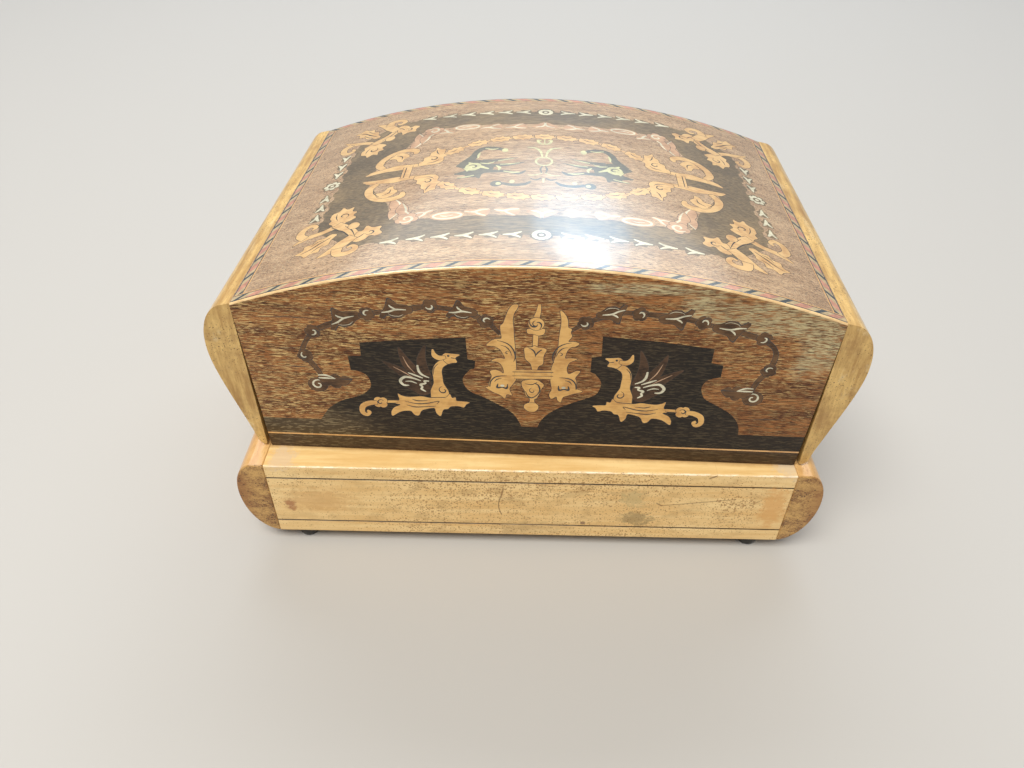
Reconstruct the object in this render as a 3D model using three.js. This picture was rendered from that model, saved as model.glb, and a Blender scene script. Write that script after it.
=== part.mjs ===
// Inlaid wooden cigarette dispenser box: a hollow, arch-topped cover with maple ends,
// standing loose on a low maple base with rounded ends and four small feet.
// Millimetres, +Z up, X to the right, Y to the back.
// The origin is the centre of the footprint, on the surface the box stands on.

import * as THREE from 'three';

// Driving dimensions of the base
const baseHeight = 29.3; // underside to the top of the base, without the feet
const baseBoard = 4.9; // thickness of the base's top and bottom boards
const baseRail = 6; // thickness of the front and back rails
const baseLedge = 6.7; // how far the base stands out before and behind the cover
const railInset = 0.8; // how far the rails stop short of the cover's ends
const baseEndWidth = 9.7; // how far a rounded end stands out from the rails
const baseEndFlat = 3.7; // flat top of a rounded end, before it rolls over
const baseEndBulge = 17.5; // height of a rounded end's widest line

// Driving dimensions of the feet
const footHeight = 4.5;
const footRadius = 3.4;
const footFlat = 2.1; // radius of the flat that a foot stands on
const footFromEnd = 8; // foot's centre, in from the end of the rails
const footFromEdge = 4.4; // foot's centre, in from the base's front or back

// Driving dimensions of the cover
const coverWidth = 160; // clear width between the maple ends
const coverDepth = 115.4;
const coverCorner = 51.7; // bottom edge to the top surface, where it meets the ends
const archRise = 14; // how far the top rises from there to its middle
const topSheet = 1.5; // thickness of the bent top
const coverBoard = 5; // thickness of the front and back boards
const coverEndWidth = 9.65; // thickness of a maple end at its widest line
const coverEndShoulder = 15.3; // widest line, down from the top surface's corner
const coverEndTip = 2.6; // thickness of a maple end just above its rounded tip
const tipRise = 3.2; // height of the rounded tip
const boardTaper = 1.2; // how much narrower the boards are on each side at the bottom

// Fits, and how the loose cover was found standing on its base
const seam = 0.3; // open line between pieces that meet
const coverTurn = THREE.MathUtils.degToRad(-1.5);
const coverShift = 1.7; // the cover stands this far to the right of the base's middle

// Derived sizes
const railLength = coverWidth - 2 * railInset;
const baseDepth = coverDepth + 2 * baseLedge;
const baseTop = footHeight + baseHeight;
const halfWidth = coverWidth / 2;
const archRadius = (halfWidth ** 2 + archRise ** 2) / (2 * archRise);
const archSlope = halfWidth / (archRadius - archRise);

const curveSteps = 20;

function wood(color, roughness) {
  return new THREE.MeshStandardMaterial({ color, roughness, metalness: 0 });
}

const maple = wood(0xd9a55c, 0.45);
const endGrain = wood(0xa8773c, 0.55);
const inlaidVeneer = wood(0x5b351e, 0.35);
const blackFoot = wood(0x16130f, 0.4);

function named(name, geometry, material) {
  const mesh = new THREE.Mesh(geometry, material);
  mesh.name = name;
  return mesh;
}

// A profile drawn in X and Z, extruded along Y and centred on Y = 0
function prism(shape, depth) {
  const geometry = new THREE.ExtrudeGeometry(shape, {
    depth,
    bevelEnabled: false,
    curveSegments: curveSteps,
  });
  geometry.rotateX(Math.PI / 2);
  geometry.translate(0, depth / 2, 0);
  return geometry;
}

function board(name, width, depth, height, bottom, y = 0) {
  const mesh = named(name, new THREE.BoxGeometry(width, depth, height), maple);
  mesh.position.set(0, y, bottom + height / 2);
  return mesh;
}

// Height of the cover's top surface over its bottom edge, at a distance from the middle
function archHeight(x) {
  return coverCorner + archRise - archRadius + Math.sqrt(archRadius ** 2 - x ** 2);
}

// The arch, lowered by drop, as points from one x to another
function archPoints(from, to, drop) {
  const points = [];
  for (let i = 0; i <= 2 * curveSteps; i += 1) {
    const x = THREE.MathUtils.lerp(from, to, i / (2 * curveSteps));
    points.push(new THREE.Vector2(x, archHeight(x) - drop));
  }
  return points;
}

// Profile of the right-hand rounded end of the base, from the rails outwards
function baseEndProfile() {
  const shape = new THREE.Shape();
  shape.moveTo(0, 0);
  shape.bezierCurveTo(
    baseEndWidth * 0.54, baseEndBulge * 0.04,
    baseEndWidth, baseEndBulge * 0.46,
    baseEndWidth, baseEndBulge,
  );
  shape.bezierCurveTo(
    baseEndWidth, THREE.MathUtils.lerp(baseEndBulge, baseHeight, 0.58),
    THREE.MathUtils.lerp(baseEndFlat, baseEndWidth, 0.55), baseHeight,
    baseEndFlat, baseHeight,
  );
  shape.lineTo(0, baseHeight);
  return shape;
}

// Profile of the right-hand maple end of the cover: a rolled shoulder, then a long taper
function coverEndProfile() {
  const flat = coverEndWidth * 0.31;
  const flatDrop = flat * archSlope * 0.65;
  const widest = coverCorner - coverEndShoulder;
  const taperEnd = tipRise * 2;
  const shape = new THREE.Shape();
  shape.moveTo(0, tipRise * 0.3);
  shape.bezierCurveTo(
    0, 0,
    coverEndTip * 0.7, -tipRise * 0.08,
    coverEndTip, tipRise,
  );
  shape.lineTo(coverEndTip + taperEnd * 0.1, taperEnd);
  shape.bezierCurveTo(
    coverEndWidth * 0.65, THREE.MathUtils.lerp(taperEnd, widest, 0.4),
    coverEndWidth, THREE.MathUtils.lerp(taperEnd, widest, 0.76),
    coverEndWidth, widest,
  );
  shape.bezierCurveTo(
    coverEndWidth, coverCorner - coverEndShoulder * 0.39,
    coverEndWidth * 0.61, coverCorner - coverEndShoulder * 0.1,
    flat, coverCorner - flatDrop,
  );
  shape.lineTo(0, coverCorner);
  return shape;
}

// Front and back board: an arched top edge, and sides that draw in a little downwards
function coverBoardProfile() {
  const top = halfWidth - seam;
  const bottom = top - boardTaper;
  const shape = new THREE.Shape();
  shape.moveTo(-bottom, 0);
  shape.lineTo(bottom, 0);
  for (const point of archPoints(top, -top, topSheet + seam)) {
    shape.lineTo(point.x, point.y);
  }
  return shape;
}

function topSheetProfile() {
  const edge = halfWidth - seam;
  const under = archPoints(-edge, edge, topSheet);
  const over = archPoints(edge, -edge, 0);
  return new THREE.Shape([...under, ...over]);
}

// One end profile gives both ends: the left one is its reflection
function mirrored(shape) {
  const points = shape.getPoints(curveSteps);
  return new THREE.Shape(points.map((p) => new THREE.Vector2(-p.x, p.y)).reverse());
}

function endPair(prefix, profile, depth, halfSpan, material) {
  const right = named(`${prefix}_right_end`, prism(profile, depth), material);
  const left = named(`${prefix}_left_end`, prism(mirrored(profile), depth), material);
  right.position.x = halfSpan;
  left.position.x = -halfSpan;
  return [left, right];
}

function footGeometry() {
  const height = footHeight - seam;
  const profile = new THREE.Path();
  profile.moveTo(0, 0);
  profile.lineTo(footFlat, 0);
  profile.bezierCurveTo(
    THREE.MathUtils.lerp(footFlat, footRadius, 0.7), 0,
    footRadius, height * 0.2,
    footRadius, height * 0.6,
  );
  profile.lineTo(footRadius, height);
  profile.lineTo(0, height);
  const geometry = new THREE.LatheGeometry(profile.getPoints(8), 32);
  geometry.rotateX(Math.PI / 2);
  return geometry;
}

function feet() {
  const group = new THREE.Group();
  const x = railLength / 2 - footFromEnd;
  const y = baseDepth / 2 - footFromEdge;
  for (const [side, signX] of [['left', -1], ['right', 1]]) {
    for (const [edge, signY] of [['front', -1], ['back', 1]]) {
      const foot = named(`foot_${edge}_${side}`, footGeometry(), blackFoot);
      foot.position.set(signX * x, signY * y, 0);
      group.add(foot);
    }
  }
  return group;
}

function base() {
  const group = new THREE.Group();
  const railHeight = baseHeight - 2 * baseBoard - 2 * seam;
  const railY = (baseDepth - baseRail) / 2;
  const length = railLength - 2 * seam;
  group.add(
    board('base_bottom_board', length, baseDepth, baseBoard, 0),
    board('base_front_rail', length, baseRail, railHeight, baseBoard + seam, -railY),
    board('base_back_rail', length, baseRail, railHeight, baseBoard + seam, railY),
    board('base_top_board', length, baseDepth, baseBoard, baseHeight - baseBoard),
    ...endPair('base', baseEndProfile(), baseDepth, railLength / 2, endGrain),
  );
  group.position.z = footHeight;
  return group;
}

function cover() {
  const group = new THREE.Group();
  const boardY = (coverDepth - coverBoard) / 2;
  for (const [side, sign] of [['front', -1], ['back', 1]]) {
    const panel = named(
      `cover_${side}_board`, prism(coverBoardProfile(), coverBoard), inlaidVeneer,
    );
    panel.position.y = sign * boardY;
    group.add(panel);
  }
  group.add(
    named('cover_top', prism(topSheetProfile(), coverDepth), inlaidVeneer),
    ...endPair('cover', coverEndProfile(), coverDepth, halfWidth, maple),
  );
  group.position.set(coverShift, 0, baseTop + seam);
  group.rotation.z = coverTurn;
  return group;
}

// Put the whole box's footprint centre on the origin
function centred(group) {
  group.updateMatrixWorld(true);
  const middle = new THREE.Box3().setFromObject(group, true).getCenter(new THREE.Vector3());
  group.position.set(-middle.x, -middle.y, 0);
  return group;
}

const box = new THREE.Group();
box.add(feet(), base(), cover());

export default centred(box);
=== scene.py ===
"""Looks of an inlaid wooden cigarette dispenser box: an arch-topped cover pictured in
coloured veneers, standing a little askew on a low maple base."""

import math

import bmesh
import bpy
import numpy as np
from mathutils import Matrix, Vector
from mathutils.geometry import delaunay_2d_cdt


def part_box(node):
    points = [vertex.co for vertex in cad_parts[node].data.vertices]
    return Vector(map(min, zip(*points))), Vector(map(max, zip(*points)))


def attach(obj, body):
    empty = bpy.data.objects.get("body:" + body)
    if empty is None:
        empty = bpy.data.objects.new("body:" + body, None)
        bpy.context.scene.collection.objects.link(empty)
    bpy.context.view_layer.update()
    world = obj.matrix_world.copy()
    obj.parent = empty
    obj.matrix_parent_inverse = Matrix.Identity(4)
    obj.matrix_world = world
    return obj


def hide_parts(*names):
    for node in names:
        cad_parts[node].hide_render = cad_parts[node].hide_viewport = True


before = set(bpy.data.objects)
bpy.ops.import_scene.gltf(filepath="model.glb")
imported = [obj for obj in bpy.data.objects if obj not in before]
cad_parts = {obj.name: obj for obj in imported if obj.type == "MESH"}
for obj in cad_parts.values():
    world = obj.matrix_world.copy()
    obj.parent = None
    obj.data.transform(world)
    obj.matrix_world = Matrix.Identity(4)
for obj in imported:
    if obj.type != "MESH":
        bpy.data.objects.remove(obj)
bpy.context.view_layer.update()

MM = 0.001
COVER_TURN = math.radians(-1.5)  # the loose cover stands turned by this on its base
COVER_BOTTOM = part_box("cover_front_board")[0].z / MM
SHEET = 1.5  # thickness of the bent top

CAMERA_PLACE = (-4.82, -220.37, 199.32)  # mm
CAMERA_AHEAD = (-0.01119, 0.76379, -0.64537)
CAMERA_ROLL = math.radians(0.546)
FIELD_WIDTH = 1024  # the photograph's width, and the lens's focal length in its pixels
FOCAL_LENGTH = 765.34


# Sizes of the cover, measured on the frame in the cover's own turned frame, in mm

def cover_corners(node):
    """Lowest and highest corner of a cover node in the cover's own frame."""
    unturn = Matrix.Rotation(-COVER_TURN, 3, "Z")
    points = np.array([unturn @ v.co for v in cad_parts[node].data.vertices]) / MM
    points[:, 2] -= COVER_BOTTOM
    return points.min(0), points.max(0)


BOARD_LOW, BOARD_HIGH = cover_corners("cover_front_board")
TOP_LOW, TOP_HIGH = cover_corners("cover_top")
DEPTH = TOP_HIGH[1]  # half the cover's depth
CROWN = TOP_HIGH[2]
RISE = CROWN - TOP_LOW[2] - SHEET
ARCH = (TOP_HIGH[0] ** 2 + RISE ** 2) / (2 * RISE)  # radius of the arch
HALF = TOP_HIGH[0] + 0.26  # half the width of the top, close up to the maple ends
BOARD = BOARD_HIGH[1] - BOARD_LOW[1]
TAPER = 1.2  # how much the boards draw in at each side towards the bottom


def arch(x, drop=0.0):
    """Height of the arched top over the cover's bottom edge."""
    return CROWN - drop - ARCH + math.sqrt(ARCH ** 2 - x ** 2)


# Node helpers for the materials

def srgb(red, green, blue):
    """A colour as eyes see it, 0 to 255, turned into the shader's light values."""
    def linear(value):
        value /= 255
        return value / 12.92 if value <= 0.04045 else ((value + 0.055) / 1.055) ** 2.4
    return (linear(red), linear(green), linear(blue), 1.0)


def darker(colour, share):
    """The colour with its light cut to a share."""
    return tuple(part * share for part in colour[:3]) + (1,)


class Finish:
    """A material being mixed: each method adds one node and gives back its output."""

    def __init__(self, name):
        self.material = bpy.data.materials.new(name)
        self.material.use_nodes = True
        self.nodes = self.material.node_tree.nodes
        self.links = self.material.node_tree.links
        self.shader = self.nodes["Principled BSDF"]

    def feed(self, socket, value):
        if isinstance(value, bpy.types.NodeSocket):
            self.links.new(value, socket)
        else:
            socket.default_value = value

    def add(self, kind, output=0, settings=None, **inputs):
        node = self.nodes.new(kind)
        for key, value in (settings or {}).items():
            setattr(node, key, value)
        for key, value in inputs.items():
            self.feed(node.inputs[key.replace("_", " ")], value)
        return node.outputs[output]

    def place(self, turn=COVER_TURN, stretch=(1, 1, 1), shift=(0, 0, 0)):
        """Position on the piece in millimetres, turned with the cover and stretched."""
        seen = self.add("ShaderNodeTexCoord", "Object")
        local = self.add("ShaderNodeMapping", Vector=seen, Rotation=(0, 0, -turn),
                         Scale=(1 / MM, 1 / MM, 1 / MM))
        return self.add("ShaderNodeMapping", Vector=local, Location=shift, Scale=stretch)

    def noise(self, vector, detail=3.0, roughness=0.55):
        return self.add("ShaderNodeTexNoise", "Fac", Vector=vector, Scale=1.0,
                        Detail=detail, Roughness=roughness)

    def band(self, value, low, high, to_low=0.0, to_high=1.0):
        return self.add("ShaderNodeMapRange", "Result", {"interpolation_type": "SMOOTHSTEP"},
                        Value=value, From_Min=low, From_Max=high, To_Min=to_low, To_Max=to_high)

    def maths(self, first, second, kind):
        node = self.nodes.new("ShaderNodeMath")
        node.operation = kind
        self.feed(node.inputs[0], first)
        self.feed(node.inputs[1], second)
        return node.outputs[0]

    def sum(self, first, second):
        return self.maths(first, second, "ADD")

    def times(self, first, second):
        return self.maths(first, second, "MULTIPLY")

    def absolute(self, value):
        return self.maths(value, 0.0, "ABSOLUTE")

    def axis(self, name, vector):
        return self.add("ShaderNodeSeparateXYZ", name, Vector=vector)

    def mix(self, share, first, second, kind="MIX"):
        node = self.nodes.new("ShaderNodeMix")
        node.data_type = "RGBA"
        node.blend_type = kind
        self.feed(node.inputs["Factor"], share)
        self.feed(node.inputs["A"], first)
        self.feed(node.inputs["B"], second)
        return node.outputs["Result"]

    def bump(self, height, strength, depth, under=None):
        extra = {} if under is None else {"Normal": under}
        return self.add("ShaderNodeBump", "Normal", Strength=strength, Distance=depth * MM,
                        Height=height, **extra)

    def flecks(self, place, dense):
        """Separate small round flecks of chance sizes; dense, 0 to 1, sets how big they get."""
        cell = self.add("ShaderNodeTexVoronoi", "Distance", Vector=place, Scale=1.0)
        chance = self.add("ShaderNodeSeparateColor", "Red", Color=cell.node.outputs["Color"])
        size = self.times(self.times(chance, dense), 0.42)
        return self.band(self.maths(cell, size, "SUBTRACT"), -0.08, 0.03, 1.0, 0.0)

    def spot(self, place, centre, reach, ragged):
        """1 at the centre of a soft round patch, 0 outside it, with a ragged edge."""
        gap = self.add("ShaderNodeVectorMath", settings={"operation": "SUBTRACT"}, Vector=place)
        gap.node.inputs[1].default_value = centre
        shaped = self.add("ShaderNodeVectorMath", settings={"operation": "DIVIDE"}, Vector=gap)
        shaped.node.inputs[1].default_value = reach
        far = self.add("ShaderNodeVectorMath", "Value", {"operation": "LENGTH"}, Vector=shaped)
        return self.band(self.sum(far, ragged), 0.55, 1.35, 1.0, 0.0)

    def done(self, colour, roughness, normal, gloss=0.5, coat=0.0, coat_rough=0.15,
             coat_ior=1.5):
        self.feed(self.shader.inputs["Base Color"], colour)
        self.feed(self.shader.inputs["Roughness"], roughness)
        self.feed(self.shader.inputs["Normal"], normal)
        self.feed(self.shader.inputs["Specular IOR Level"], gloss)
        self.feed(self.shader.inputs["Coat Weight"], coat)
        self.feed(self.shader.inputs["Coat Roughness"], coat_rough)
        self.feed(self.shader.inputs["Coat IOR"], coat_ior)
        return self.material


# Woods and colours: a dark and a light tone each, and what fills the pores of open grain

LACQUER = {"gloss": 0.3, "coat": 1.0, "coat_rough": 0.12, "coat_ior": 1.7}
WORN_LACQUER = {"gloss": 0.2, "coat": 0.3, "coat_rough": 0.15}


def open_grain(name, dark, light, filled, pores=0.5, stain=False):
    """Brown open-grained veneer: wavy figure, dark pores, and pores filled with pale dust."""
    f = Finish(name)
    place = f.place()
    wander = f.noise(f.place(stretch=(0.02, 0.05, 0.05)), 2.0)
    wave = f.times(wander, 5.0 if stain else 2.0)
    lift = f.add("ShaderNodeCombineXYZ", X=0.0, Y=wave, Z=wave)
    waved = f.add("ShaderNodeVectorMath", settings={"operation": "ADD"}, Vector=place)
    f.feed(waved.node.inputs[1], lift)

    def along(x, across, shift=(0, 0, 0)):
        return f.add("ShaderNodeMapping", Vector=waved, Location=shift,
                     Scale=(x, across, across))

    figure = f.noise(along(0.02, 0.3), 4.0, 0.6)
    fibre = f.noise(along(0.25, 2.2), 3.0, 0.7)
    dashes = f.noise(along(0.3, 4.6, (7, 3, 11)), 3.0, 0.65)
    dust = f.noise(along(0.36, 5.0, (31, 17, 5)), 3.0, 0.65)
    tone = f.sum(f.times(figure, 0.5), f.times(fibre, 0.5))
    colour = f.mix(f.band(tone, 0.38, 0.62), dark, light)
    cut = f.band(dashes, 0.515, 0.585)
    colour = f.mix(f.times(cut, 0.85), colour, darker(dark, 0.3))
    cloudy = f.noise(f.place(stretch=(0.03, 0.05, 0.05), shift=(3, 8, 2)), 3.0)
    thick = f.band(cloudy, 0.34, 0.66, 0.35, 1.0)
    if stain:
        x = f.axis("X", place)
        thick = f.times(thick, f.band(x, -50, 20, 1.55, 0.8))
    pale = f.times(f.band(dust, 0.535, 0.6), f.times(thick, pores))
    colour = f.mix(pale, colour, filled)
    if stain:
        ragged = f.times(f.noise(f.place(stretch=(0.1, 0.1, 0.2)), 5.0, 0.7), 2.6)
        ragged = f.sum(ragged, -1.3)
        wear_and_painted_light = f.spot(place, (62, -DEPTH, COVER_BOTTOM + 52), (20, 4, 6), ragged)
        for centre, reach in (((75, -DEPTH, COVER_BOTTOM + 43), (6, 4, 9)),
                              ((43, -DEPTH, COVER_BOTTOM + 57), (6, 4, 3)),
                              ((30, -DEPTH, COVER_BOTTOM + 60), (16, 4, 1.6))):
            wear_and_painted_light = f.maths(wear_and_painted_light, f.spot(place, centre, reach, ragged), "MAXIMUM")
        speckle = f.band(dust, 0.42, 0.58, 0.05, 0.8)
        colour = f.mix(f.times(wear_and_painted_light, speckle), colour, srgb(198, 186, 144))
    normal = f.bump(f.times(cut, -1.0), 0.3, 0.06)
    normal = f.bump(fibre, 0.2, 0.04, normal)
    rough = f.band(f.noise(f.place(stretch=(0.05, 0.05, 0.05)), 4.0), 0.3, 0.7, 0.34, 0.5)
    return f.done(colour, rough, normal, **(WORN_LACQUER if stain else LACQUER))


def dark_veneer(name, deep, lit, dusty=0.15, wear_and_painted_light=0.0, lacquer=WORN_LACQUER):
    """Near-black veneer with fine grey-brown grain. Its left foot is painted paler and dustier, a
    painted sheen, as strongly as the fifth argument says.
    """
    f = Finish(name)
    place = f.place()
    fibre = f.noise(f.place(stretch=(0.25, 2.2, 2.2)), 3.0, 0.7)
    cloud = f.noise(f.place(stretch=(0.03, 0.05, 0.05)), 4.0, 0.6)
    dust = f.noise(f.place(stretch=(0.4, 2.9, 2.9), shift=(5, 9, 2)), 2.0, 0.6)
    tone = f.sum(f.times(fibre, 0.6), f.times(cloud, 0.4))
    colour = f.mix(f.band(tone, 0.4, 0.64), deep, lit)
    ragged = f.times(f.sum(cloud, -0.5), 2.0)
    # Painted sheen: a paler, dustier patch over the left foot of the band.
    foot = f.spot(place, (-72, -DEPTH, COVER_BOTTOM + 8), (26, 8, 8), ragged)
    colour = f.mix(f.times(foot, wear_and_painted_light), colour, srgb(96, 78, 52))
    share = f.sum(f.times(foot, wear_and_painted_light), dusty)
    pale = f.times(f.band(dust, 0.52, 0.62), share)
    colour = f.mix(pale, colour, srgb(150, 132, 98))
    normal = f.bump(fibre, 0.3, 0.05)
    rough = f.band(cloud, 0.3, 0.7, 0.34, 0.5)
    return f.done(colour, rough, normal, **lacquer)


def inlay_wood(name, shade, light, grain=(0.25, 1.6, 1.6), lacquer=LACQUER):
    """Close-grained inlay with a quiet grain."""
    f = Finish(name)
    fibre = f.noise(f.place(stretch=grain), 4.0, 0.65)
    cloud = f.noise(f.place(stretch=(0.22, 0.22, 0.22), shift=(2, 7, 4)), 3.0, 0.6)
    tone = f.sum(f.times(fibre, 0.45), f.times(cloud, 0.55))
    colour = f.mix(f.band(tone, 0.34, 0.6), shade, light)
    normal = f.bump(fibre, 0.2, 0.04)
    rough = f.band(cloud, 0.3, 0.7, 0.34, 0.5)
    return f.done(colour, rough, normal, **lacquer)


def maple(name, pale, gold, fleck, share=0.5, grain=(0.035, 0.5, 0.5), turn=0.0, thick=(),
          front=None, wear_and_painted_light=None):
    """Golden maple under old lacquer, flecked brown where the lacquer has broken: thick
    lists patches with more flecks, and front is the Y of the only face that has many."""
    f = Finish(name)
    fine = tuple(5 * g for g in grain)
    place = f.place(turn)
    figure = f.noise(f.place(turn, grain), 4.0, 0.6)
    fibre = f.noise(f.place(turn, fine), 3.0, 0.7)
    cloud = f.noise(f.place(turn, (0.03, 0.05, 0.07), (9, 4, 1)), 4.0, 0.62)
    tone = f.sum(f.times(figure, 0.45), f.times(fibre, 0.2))
    tone = f.sum(tone, f.times(cloud, 0.35))
    colour = f.mix(f.band(tone, 0.36, 0.64), gold, pale)
    dense = f.band(cloud, 0.36, 0.66, 0.3, 0.85)
    for centre, reach in thick:
        ragged = f.times(f.sum(cloud, -0.5), 1.6)
        dense = f.sum(dense, f.times(f.spot(place, centre, reach, ragged), 0.55))
    if front is not None:
        y = f.axis("Y", place)
        dense = f.times(dense, f.band(y, front + 0.1, front + 0.7, 1.0, 0.3))
    spots = f.flecks(f.place(turn, (1.15, 1.15, 1.3)), dense)
    small = f.flecks(f.place(turn, (1.8, 1.8, 1.9), (4, 2, 9)), f.times(dense, 1.15))
    spots = f.maths(spots, small, "MAXIMUM")
    blotch = f.noise(f.place(turn, (0.16, 0.2, 0.22), (5, 3, 2)), 4.0, 0.65)
    amber = f.times(f.band(blotch, 0.48, 0.66), f.times(dense, 0.4))
    colour = f.mix(amber, colour, darker(gold, 0.62))
    colour = f.mix(f.times(spots, share), colour, fleck)
    if wear_and_painted_light:
        colour = wear_and_painted_light(f, colour, cloud)
    normal = f.bump(f.times(spots, -1.0), 0.1, 0.05)
    normal = f.bump(fibre, 0.15, 0.04, normal)
    rough = f.band(cloud, 0.3, 0.7, 0.3, 0.46)
    return f.done(colour, rough, normal, 0.4, 0.3, 0.2)


def plain_colour(name, colour, stain=0.3):
    """Dyed or darkened wood in lines too fine to show a grain."""
    f = Finish(name)
    cloud = f.noise(f.place(stretch=(0.6, 0.6, 0.6)), 4.0, 0.6)
    dull = darker(colour, 1 - stain)
    tint = f.mix(f.band(cloud, 0.35, 0.65), dull, colour)
    normal = f.bump(cloud, 0.15, 0.03)
    return f.done(tint, f.band(cloud, 0.3, 0.7, 0.34, 0.5), normal, **LACQUER)


def foot_black(name):
    f = Finish(name)
    cloud = f.noise(f.place(stretch=(0.9, 0.9, 0.9)), 4.0)
    colour = f.mix(cloud, srgb(16, 14, 12), srgb(44, 40, 35))
    return f.done(colour, f.band(cloud, 0.3, 0.7, 0.3, 0.6), f.bump(cloud, 0.3, 0.1))


WOODS = {
    "ground": open_grain("brown_veneer", srgb(92, 52, 24), srgb(164, 108, 58),
                         srgb(212, 180, 120), pores=1.0, stain=True),
    "dark": dark_veneer("dark_veneer", srgb(22, 15, 9), srgb(42, 30, 19), 0.13, 0.5),
    # The top's ground is painted lighter and paler than the front's veneer: a painted sheen.
    "top": open_grain("brown_veneer_painted_sheen", srgb(152, 118, 84), srgb(198, 164, 126),
                      srgb(226, 202, 162), pores=0.6),
    "frame": dark_veneer("olive_brown_veneer", srgb(80, 64, 38), srgb(140, 116, 78), 0.3,
                         lacquer=LACQUER),
    "strip": dark_veneer("dark_edge_strip", srgb(44, 29, 18), srgb(82, 60, 40), 0.15, 0.2),
    "gold": inlay_wood("golden_inlay", srgb(190, 136, 60), srgb(222, 172, 92)),
    "faded_gold": inlay_wood("faded_golden_inlay", srgb(190, 144, 88), srgb(220, 182, 124)),
    "line": inlay_wood("pale_stringing", srgb(186, 134, 76), srgb(222, 174, 110)),
    "edge": inlay_wood("cream_edging", srgb(214, 174, 118), srgb(242, 210, 158)),
    "husk": inlay_wood("husk_brown", srgb(58, 38, 22), srgb(108, 78, 50), (0.4, 2.4, 2.4),
                       WORN_LACQUER),
    "wing": inlay_wood("wing_brown", srgb(40, 27, 17), srgb(84, 60, 41), (0.6, 1.8, 1.8),
                       WORN_LACQUER),
    "pale": inlay_wood("greyed_white_inlay", srgb(172, 166, 140), srgb(222, 216, 188)),
    "rosy": inlay_wood("rosy_inlay", srgb(166, 126, 92), srgb(200, 160, 124)),
    "cut": plain_colour("engraved_line", srgb(26, 18, 12)),
    "red": plain_colour("dyed_red", srgb(200, 140, 114)),
    "blue": plain_colour("dyed_blue_black", srgb(52, 62, 66)),
    "green": plain_colour("pale_block", srgb(196, 172, 130)),
    "slate": plain_colour("dyed_slate", srgb(104, 100, 84), stain=0.4),
    "lime": plain_colour("dyed_cream_green", srgb(206, 202, 150)),
    "back": open_grain("brown_veneer_plain", srgb(96, 56, 26), srgb(142, 92, 48),
                       srgb(194, 160, 108), pores=0.5),
}
WOOD_ORDER = list(WOODS)


# Drawing of inlaid shapes, in millimetres on the panel's plane

def smooth(points, closed=False, steps=5):
    """A smooth line through the points."""
    count = len(points)
    knots = [Vector(p) for p in points]
    line = []
    for i in range(count if closed else count - 1):
        before = knots[i - 1] if closed or i else knots[0]
        here, there = knots[i], knots[(i + 1) % count]
        after = knots[(i + 2) % count] if closed or i + 2 < count else knots[-1]
        for step in range(steps):
            t = step / steps
            line.append(0.5 * (2 * here + (there - before) * t
                               + (2 * before - 5 * here + 4 * there - after) * t ** 2
                               + (3 * here - before - 3 * there + after) * t ** 3))
    if not closed:
        line.append(knots[-1])
    return line


def sawn(points, rounds=2):
    """Closed outline with its corners eased, as a fretsaw leaves them."""
    line = [Vector(p) for p in points]
    for _ in range(rounds):
        eased = []
        for here, there in zip(line, line[1:] + line[:1]):
            eased += [here.lerp(there, 0.2), here.lerp(there, 0.8)]
        line = eased
    return line


def stroke(points, widths, steps=5):
    """Outline of a line that swells and tapers; the widths are spread along it."""
    line = smooth(points, steps=steps)
    at = np.linspace(0, 1, len(line))
    wide = np.interp(at, np.linspace(0, 1, len(widths)), widths)
    near, far = [], []
    for i, point in enumerate(line):
        ahead = line[min(i + 1, len(line) - 1)] - line[max(i - 1, 0)]
        side = Vector((-ahead.y, ahead.x)).normalized() * wide[i] / 2
        near.append(point + side)
        far.append(point - side)
    return near + far[::-1]


def disc(centre, radius, squash=1.0, turn=0.0, sides=16):
    points = []
    for i in range(sides):
        a = 2 * math.pi * i / sides
        point = Vector((radius * math.cos(a), radius * squash * math.sin(a)))
        points.append(Vector(centre) + Matrix.Rotation(turn, 2) @ point)
    return points


def rosette(centre, radius, petals=5, turn=0.0, depth=0.3):
    """Round flower or leaf tuft with scalloped edge."""
    points = []
    for i in range(petals * 6):
        a = 2 * math.pi * i / (petals * 6)
        reach = radius * (1 - depth + depth * abs(math.cos(petals * a / 2)) ** 0.6)
        points.append(Vector(centre) + reach * Vector((math.cos(a + turn), math.sin(a + turn))))
    return points


def coil(centre, radius, start, turns=1.0, hand=1):
    """Points that wind in to the centre from the given angle."""
    points = []
    count = max(6, int(10 * turns))
    for i in range(count + 1):
        a = start + hand * 2 * math.pi * turns * i / count
        reach = radius * (1 - 0.78 * i / count)
        points.append(Vector(centre) + reach * Vector((math.cos(a), math.sin(a))))
    return points


def leaf(base, tip, width, lobes=3, bend=0.0):
    """Pointed leaf with lobed sides, bent to one side by a share of its length."""
    base, tip = Vector(base), Vector(tip)
    axis = tip - base
    across = Vector((-axis.y, axis.x)).normalized()
    near, far = [], []
    count = lobes * 5
    for i in range(count + 1):
        t = i / count
        spine = base + axis * t + across * bend * axis.length * math.sin(math.pi * t)
        saw = 0.62 + 0.38 * abs(math.sin(math.pi * lobes * t)) ** 0.7
        reach = width / 2 * math.sin(math.pi * min(1, t * 0.94 + 0.06)) ** 0.75 * saw
        near.append(spine + across * reach)
        far.append(spine - across * reach)
    return near + far[::-1]


def grown(outline, by):
    """The outline moved outwards, for the dark saw line around a piece."""
    area = sum(a.x * b.y - b.x * a.y for a, b in zip(outline, outline[1:] + outline[:1]))
    sign = 1 if area > 0 else -1
    moved = []
    for before, here, after in zip(outline[-1:] + outline[:-1], outline, outline[1:] + outline[:1]):
        run = after - before
        if run.length < 1e-6:
            moved.append(here.copy())
            continue
        moved.append(here + sign * by * Vector((run.y, -run.x)).normalized())
    return moved


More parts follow.
